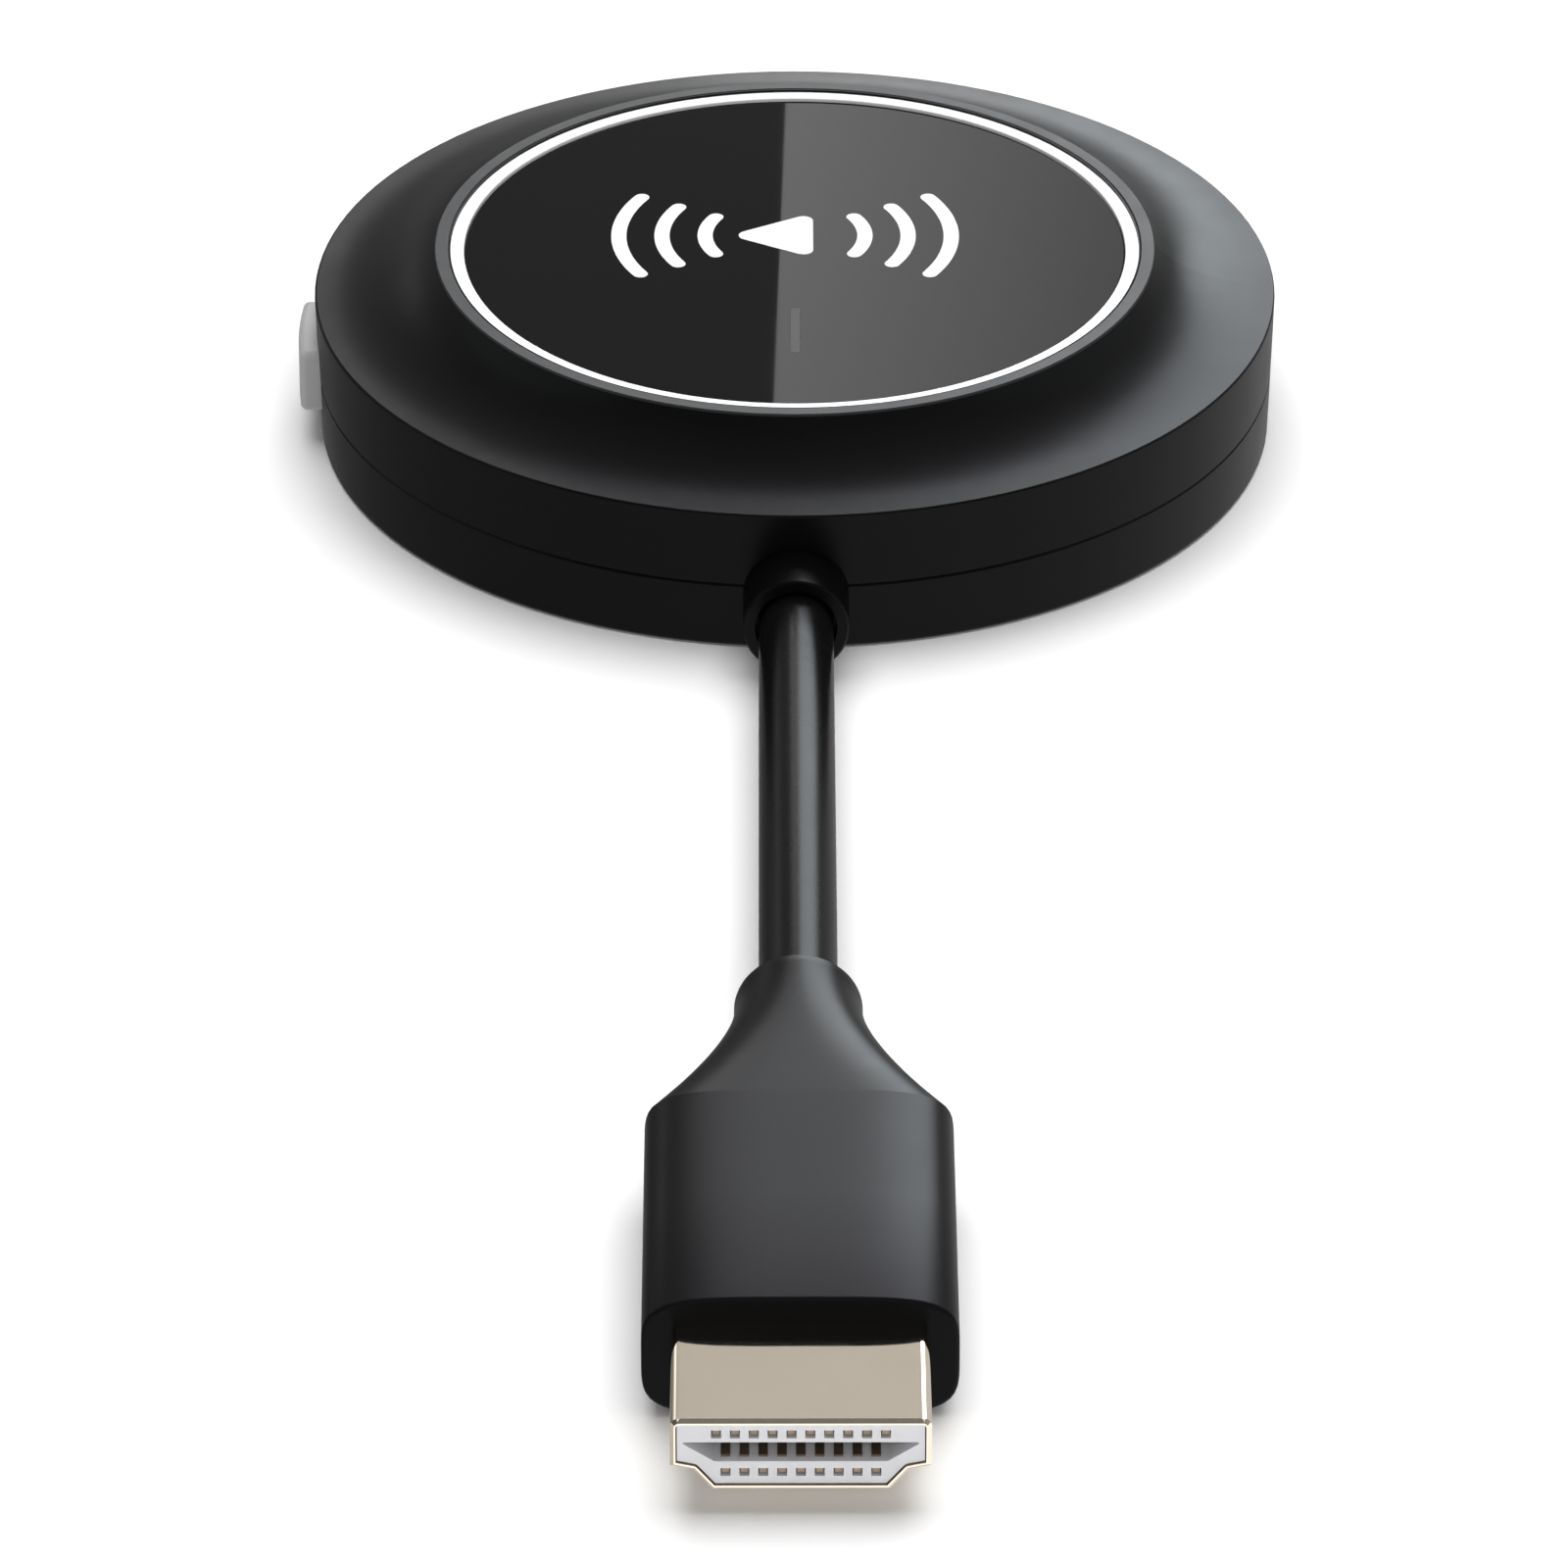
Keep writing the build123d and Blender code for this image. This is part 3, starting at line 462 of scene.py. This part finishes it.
def make_plug_body(material):
    """The moulded plug body: a round neck that flares into a crowned block."""
    low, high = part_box("plug_overmold")
    height = (high.z + low.z) / 2
    crease_y = high.y - NECK_LENGTH - FLARE_LENGTH
    form = bmesh.new()
    rings = []
    for y, half_width, half_height, inset, power in plug_sections(low, high):
        outline = squircle(half_width - inset, half_height - inset, power)
        rings.append([form.verts.new((x, y, height + z)) for x, z in outline])
    join_rings(form, rings, smooth=True)
    form.faces.new(rings[0])
    form.faces.new(rings[-1])
    bmesh.ops.recalc_face_normals(form, faces=form.faces)
    for edge in form.edges:
        if all(abs(vert.co.y - crease_y) < CREASE_TOLERANCE for vert in edge.verts):
            edge.smooth = False
    body = add_object("plug_body", form, material)
    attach(body, "root")
    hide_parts("plug_overmold")
    return body


# ---------------------------------------------------------------- mark on the glass
def sweep(centre, radius, start, end, steps):
    """Points along an arc, with both its ends."""
    points = []
    for step in range(steps + 1):
        angle = start + (end - start) * step / steps
        x = centre[0] + radius * math.cos(angle)
        points.append((x, centre[1] + radius * math.sin(angle)))
    return points


def arrow_outline():
    """A play arrow with rounded corners, pointing towards -X."""
    outline = []
    for turn in ARROW_TURNS:
        centre = (ARROW_REACH * math.cos(turn), ARROW_REACH * math.sin(turn))
        start, end = turn - ARROW_CORNER_SPREAD, turn + ARROW_CORNER_SPREAD
        outline += sweep(centre, ARROW_CORNER, start, end, END_STEPS)
    return outline


def arc_outline(radius, middle):
    """A stroke along an arc round the arrow, with round ends."""
    half = MARK_STROKE / 2
    start, end = middle - MARK_SPREAD, middle + MARK_SPREAD
    start_centre = (radius * math.cos(start), radius * math.sin(start))
    end_centre = (radius * math.cos(end), radius * math.sin(end))
    outer = sweep((0, 0), radius + half, start, end, STROKE_STEPS)
    inner = sweep((0, 0), radius - half, end, start, STROKE_STEPS)
    end_cap = sweep(end_centre, half, end, end + math.pi, END_STEPS)
    start_cap = sweep(start_centre, half, start + math.pi, start + 2 * math.pi, END_STEPS)
    return outer + end_cap[1:-1] + inner + start_cap[1:-1]


def make_mark(material):
    """A text-free printed sign on the glass: a play arrow between broadcast arcs."""
    _, glass_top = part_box("cover_glass")
    outlines = [arrow_outline()]
    for radius in MARK_RADII:
        outlines.append(arc_outline(radius, 0))
        outlines.append(arc_outline(radius, math.pi))
    form = bmesh.new()
    for outline in outlines:
        base = []
        for x, y in outline:
            place = (MARK_CENTRE[0] + x, MARK_CENTRE[1] + y, glass_top.z - MARK_HEIGHT)
            base.append(form.verts.new(place))
        raised = bmesh.ops.extrude_face_region(form, geom=[form.faces.new(base)])
        for item in raised["geom"]:
            if isinstance(item, bmesh.types.BMVert):
                item.co.z = glass_top.z + MARK_HEIGHT
    bmesh.ops.recalc_face_normals(form, faces=form.faces)
    mark = add_object("glass_mark", form, material)
    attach(mark, "root")


# ---------------------------------------------------------------- painted shade strip round the ring
def make_gap_shade(material):
    """A thin dark strip in the gap between the white ring and the bezel: painted shade that
    stands in for the gap's shadow.
    """
    ring_low, ring_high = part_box("accent_ring")
    _, bezel_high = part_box("bezel_ring")
    outer = (ring_high.x - ring_low.x) / 2 + GAP_SHADE_OVERHANG
    inner = outer - GAP_SHADE_WIDTH
    top = bezel_high.z - GAP_SHADE_SHY
    foot = top - GAP_SHADE_DEPTH
    form = bmesh.new()
    rings = []
    for point in range(GAP_SHADE_POINTS):
        turn = 2 * math.pi * point / GAP_SHADE_POINTS
        ring = []
        for radius, z in ((inner, top), (outer, top), (outer, foot), (inner, foot)):
            ring.append(form.verts.new((radius * math.cos(turn), radius * math.sin(turn), z)))
        rings.append(ring)
    join_rings(form, rings + rings[:1], smooth=False)
    bmesh.ops.recalc_face_normals(form, faces=form.faces)
    gap_shade = add_object("ring_gap_shade", form, material)
    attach(gap_shade, "root")


# ---------------------------------------------------------------- studio
def make_floor():
    """A wide pale floor under the part, left out of sharp reflections."""
    form = bmesh.new()
    bmesh.ops.create_circle(form, cap_ends=True, segments=FLOOR_POINTS, radius=FLOOR_RADIUS)
    mat, _, shader = new_material("floor_pale")
    shader.inputs["Base Color"].default_value = (*shade(FLOOR_ALBEDO, PLAIN), 1)
    shader.inputs["Roughness"].default_value = FLOOR_ROUGHNESS
    shader.inputs["IOR"].default_value = FLOOR_IOR
    floor = add_object("floor", form, mat)
    floor.visible_glossy = False


def glow_material(name, left, right, glow, tone):
    """An emission whose strength goes from glow's first value at left to its second at right."""
    mat = bpy.data.materials.new(name)
    mat.use_nodes = True
    tree = mat.node_tree
    tree.nodes.clear()
    coords = tree.nodes.new("ShaderNodeTexCoord")
    split = tree.nodes.new("ShaderNodeSeparateXYZ")
    level = tree.nodes.new("ShaderNodeMapRange")
    level.inputs["From Min"].default_value = left * MM
    level.inputs["From Max"].default_value = right * MM
    level.inputs["To Min"].default_value = glow[0]
    level.inputs["To Max"].default_value = glow[1]
    emission = tree.nodes.new("ShaderNodeEmission")
    emission.inputs["Color"].default_value = (*tone, 1)
    surface = tree.nodes.new("ShaderNodeOutputMaterial")
    tree.links.new(coords.outputs["Object"], split.inputs["Vector"])
    tree.links.new(split.outputs["X"], level.inputs["Value"])
    tree.links.new(level.outputs["Result"], emission.inputs["Strength"])
    tree.links.new(emission.outputs["Emission"], surface.inputs["Surface"])
    return mat


def make_card(name, left, right, bottom, top, glow, tone, turn=0):
    """An upright softbox seen only in reflections, behind the part unless it is turned."""
    mesh = bpy.data.meshes.new(name)
    places = [(left[0], bottom), (right[0], bottom), (right[1], top), (left[1], top)]
    corners = [Vector((x, CARD_DISTANCE, z)) * MM for x, z in places]
    mesh.from_pydata(corners, [], [(0, 1, 2, 3)])
    mesh.materials.append(glow_material(name, left[0], right[0], glow, tone))
    card = bpy.data.objects.new(name, mesh)
    card.rotation_euler.z = math.radians(turn)
    bpy.context.scene.collection.objects.link(card)
    card.visible_camera = False
    card.visible_diffuse = False
    card.visible_shadow = False


def make_light(name, location, size, power):
    """A square soft light aimed at the part, left out of sharp reflections."""
    data = bpy.data.lights.new(name, "AREA")
    data.shape = "SQUARE"
    data.size = size
    data.energy = power
    light = bpy.data.objects.new(name, data)
    light.location = location
    light.rotation_euler = (-light.location).to_track_quat("-Z", "Y").to_euler()
    light.visible_glossy = False
    bpy.context.scene.collection.objects.link(light)


def slope(tree, direction, constant, across, along):
    """constant + across * x + along * y, for a direction's x and y, never under ROOM_LEAST."""
    sideways = arithmetic(tree, "MULTIPLY", direction.outputs["X"], across)
    forwards = arithmetic(tree, "MULTIPLY", direction.outputs["Y"], along)
    change = arithmetic(tree, "ADD", sideways, forwards)
    level = arithmetic(tree, "ADD", change, constant)
    return arithmetic(tree, "MAXIMUM", level, ROOM_LEAST)


def make_world():
    """A dim room above and a pale table's light below, brighter on the right."""
    world = bpy.data.worlds.new("studio")
    world.use_nodes = True
    tree = world.node_tree
    background = tree.nodes["Background"]
    background.inputs["Color"].default_value = (*PLAIN, 1)
    coords = tree.nodes.new("ShaderNodeTexCoord")
    direction = tree.nodes.new("ShaderNodeSeparateXYZ")
    tree.links.new(coords.outputs["Generated"], direction.inputs["Vector"])
    above = slope(tree, direction, *ROOM_ABOVE)
    below = slope(tree, direction, *ROOM_BELOW)
    height = tree.nodes.new("ShaderNodeMapRange")
    height.inputs["From Min"].default_value = -HORIZON
    height.inputs["From Max"].default_value = HORIZON
    tree.links.new(direction.outputs["Z"], height.inputs["Value"])
    mix = tree.nodes.new("ShaderNodeMix")
    mix.data_type = "FLOAT"
    tree.links.new(height.outputs["Result"], mix.inputs["Factor"])
    tree.links.new(below, mix.inputs[2])  # the float A
    tree.links.new(above, mix.inputs[3])  # the float B
    tree.links.new(mix.outputs[0], background.inputs["Strength"])
    bpy.context.scene.world = world


def make_studio():
    """The room's light, the floor, the soft lights and the softboxes for reflections."""
    settings = bpy.context.scene.view_settings
    settings.view_transform = "Standard"
    settings.look = "None"
    make_world()
    make_floor()
    for light in LIGHTS:
        make_light(*light)
    for card in CARDS:
        make_card(*card)
    for name, turn in SIDE_TURNS.items():
        make_card(name, *SIDE_CARD, turn)


make_camera()
materials = make_materials()
dress_nodes(materials)
plug_body = make_plug_body(materials["overmold_black"])
make_cable(materials["cable_black"])
make_mark(materials["mark_white"])
# painted shade: a thin dark strip in the gap between the white ring and the bezel
make_gap_shade(materials["soft_black"])
make_studio()
